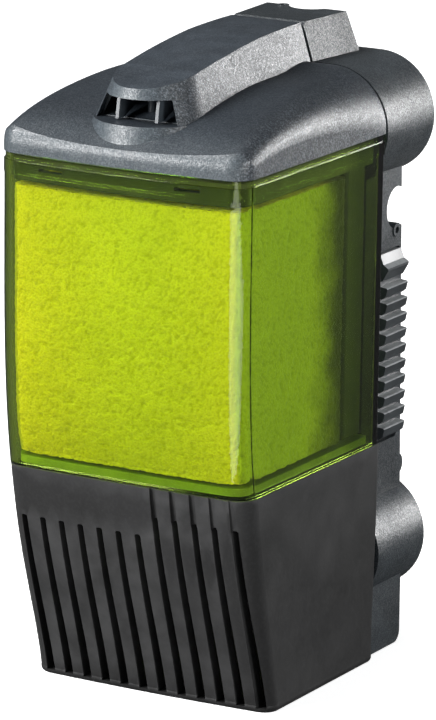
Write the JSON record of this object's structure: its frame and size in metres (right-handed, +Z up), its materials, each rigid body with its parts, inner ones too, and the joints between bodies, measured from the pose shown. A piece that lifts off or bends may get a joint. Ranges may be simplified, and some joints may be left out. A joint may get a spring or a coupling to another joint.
{
  "type": "internal aquarium filter",
  "caption": "Upright submersible aquarium filter: clear green foam canister on a black slotted intake base, vaulted lid with a forward outlet spout, pill-shaped pump housing behind.",
  "frame": {"origin": "middle of the footprint, on the surface the filter stands on", "axes": "+X to the filter's own left as seen from its front (right of the picture plane), +Y from the front to the glass side, +Z up"},
  "size_m": [0.062, 0.088, 0.1448],
  "materials": {
    "lid_plastic": "fine spark-eroded grain, charcoal slate",
    "housing_plastic": "smooth satin charcoal grey",
    "nozzle_plastic": "satin grey",
    "black_plastic": "satin near-black",
    "inner_plastic": "plain black moulding",
    "tray_plastic": "translucent lime moulding",
    "clear_green": "clear green moulding",
    "foam": "open-cell filter foam, lime",
    "rubber": "soft black",
    "lamination": "stacked laminations",
    "bobbin_plastic": "natural white",
    "copper": "enamelled copper winding",
    "ferrite": "ferrite magnet",
    "ceramic": "ground ceramic"
  },
  "bodies": {
    "housing": {"rear_housing": "housing_plastic", "motor_cover": "housing_plastic", "lid": "lid_plastic", "outlet_gasket": "rubber", "head_frame": "inner_plastic", "seal_ring": "rubber", "riser_panel": "inner_plastic", "rotor_can": "inner_plastic", "stator_core": "lamination", "coil_bobbin": "bobbin_plastic", "coil_winding": "copper", "ceramic_shaft": "ceramic", "inner_bearing": "rubber", "outer_bearing": "rubber", "volute": "inner_plastic", "impeller_cover": "inner_plastic", "cable_gland": "rubber"},
    "rotor": {"rotor_magnet": "ferrite", "impeller": "bobbin_plastic"},
    "canister": {"canister": "clear_green", "foam_cartridge": "foam", "cartridge_tray": "tray_plastic"},
    "base": {"intake_base": "black_plastic"},
    "nozzle": {"flow_director": "nozzle_plastic"},
    "grip_r": {"right_grip": "housing_plastic"},
    "grip_l": {"left_grip": "housing_plastic"}
  },
  "joints": [
    {"name": "rotor_spin", "type": "hinge", "parent": "housing", "child": "rotor", "pos_m": [0, 0.03288, 0.1222], "axis": [1, 0, 0], "continuous": true},
    {"name": "canister_slide", "type": "slide", "parent": "housing", "child": "canister", "axis": [0, 0, 1], "range_m": [-0.06, 0]},
    {"name": "base_slide", "type": "slide", "parent": "canister", "child": "base", "axis": [0, 0, 1], "range_m": [-0.025, 0]},
    {"name": "nozzle_swivel", "type": "hinge", "parent": "housing", "child": "nozzle", "pos_m": [0, -0.02802, 0.134], "axis": [0, 0, 1], "range_deg": [-12, 12]},
    {"name": "right_grip_press", "type": "hinge", "parent": "housing", "child": "grip_r", "pos_m": [0.0241, 0.03488, 0.0502], "axis": [0, -1, 0], "range_deg": [0, 3], "stiffness_Nm_per_rad": 0.3},
    {"name": "left_grip_press", "type": "hinge", "parent": "housing", "child": "grip_l", "pos_m": [-0.0241, 0.03488, 0.0502], "axis": [0, 1, 0], "range_deg": [0, 3], "stiffness_Nm_per_rad": 0.3}
  ]
}
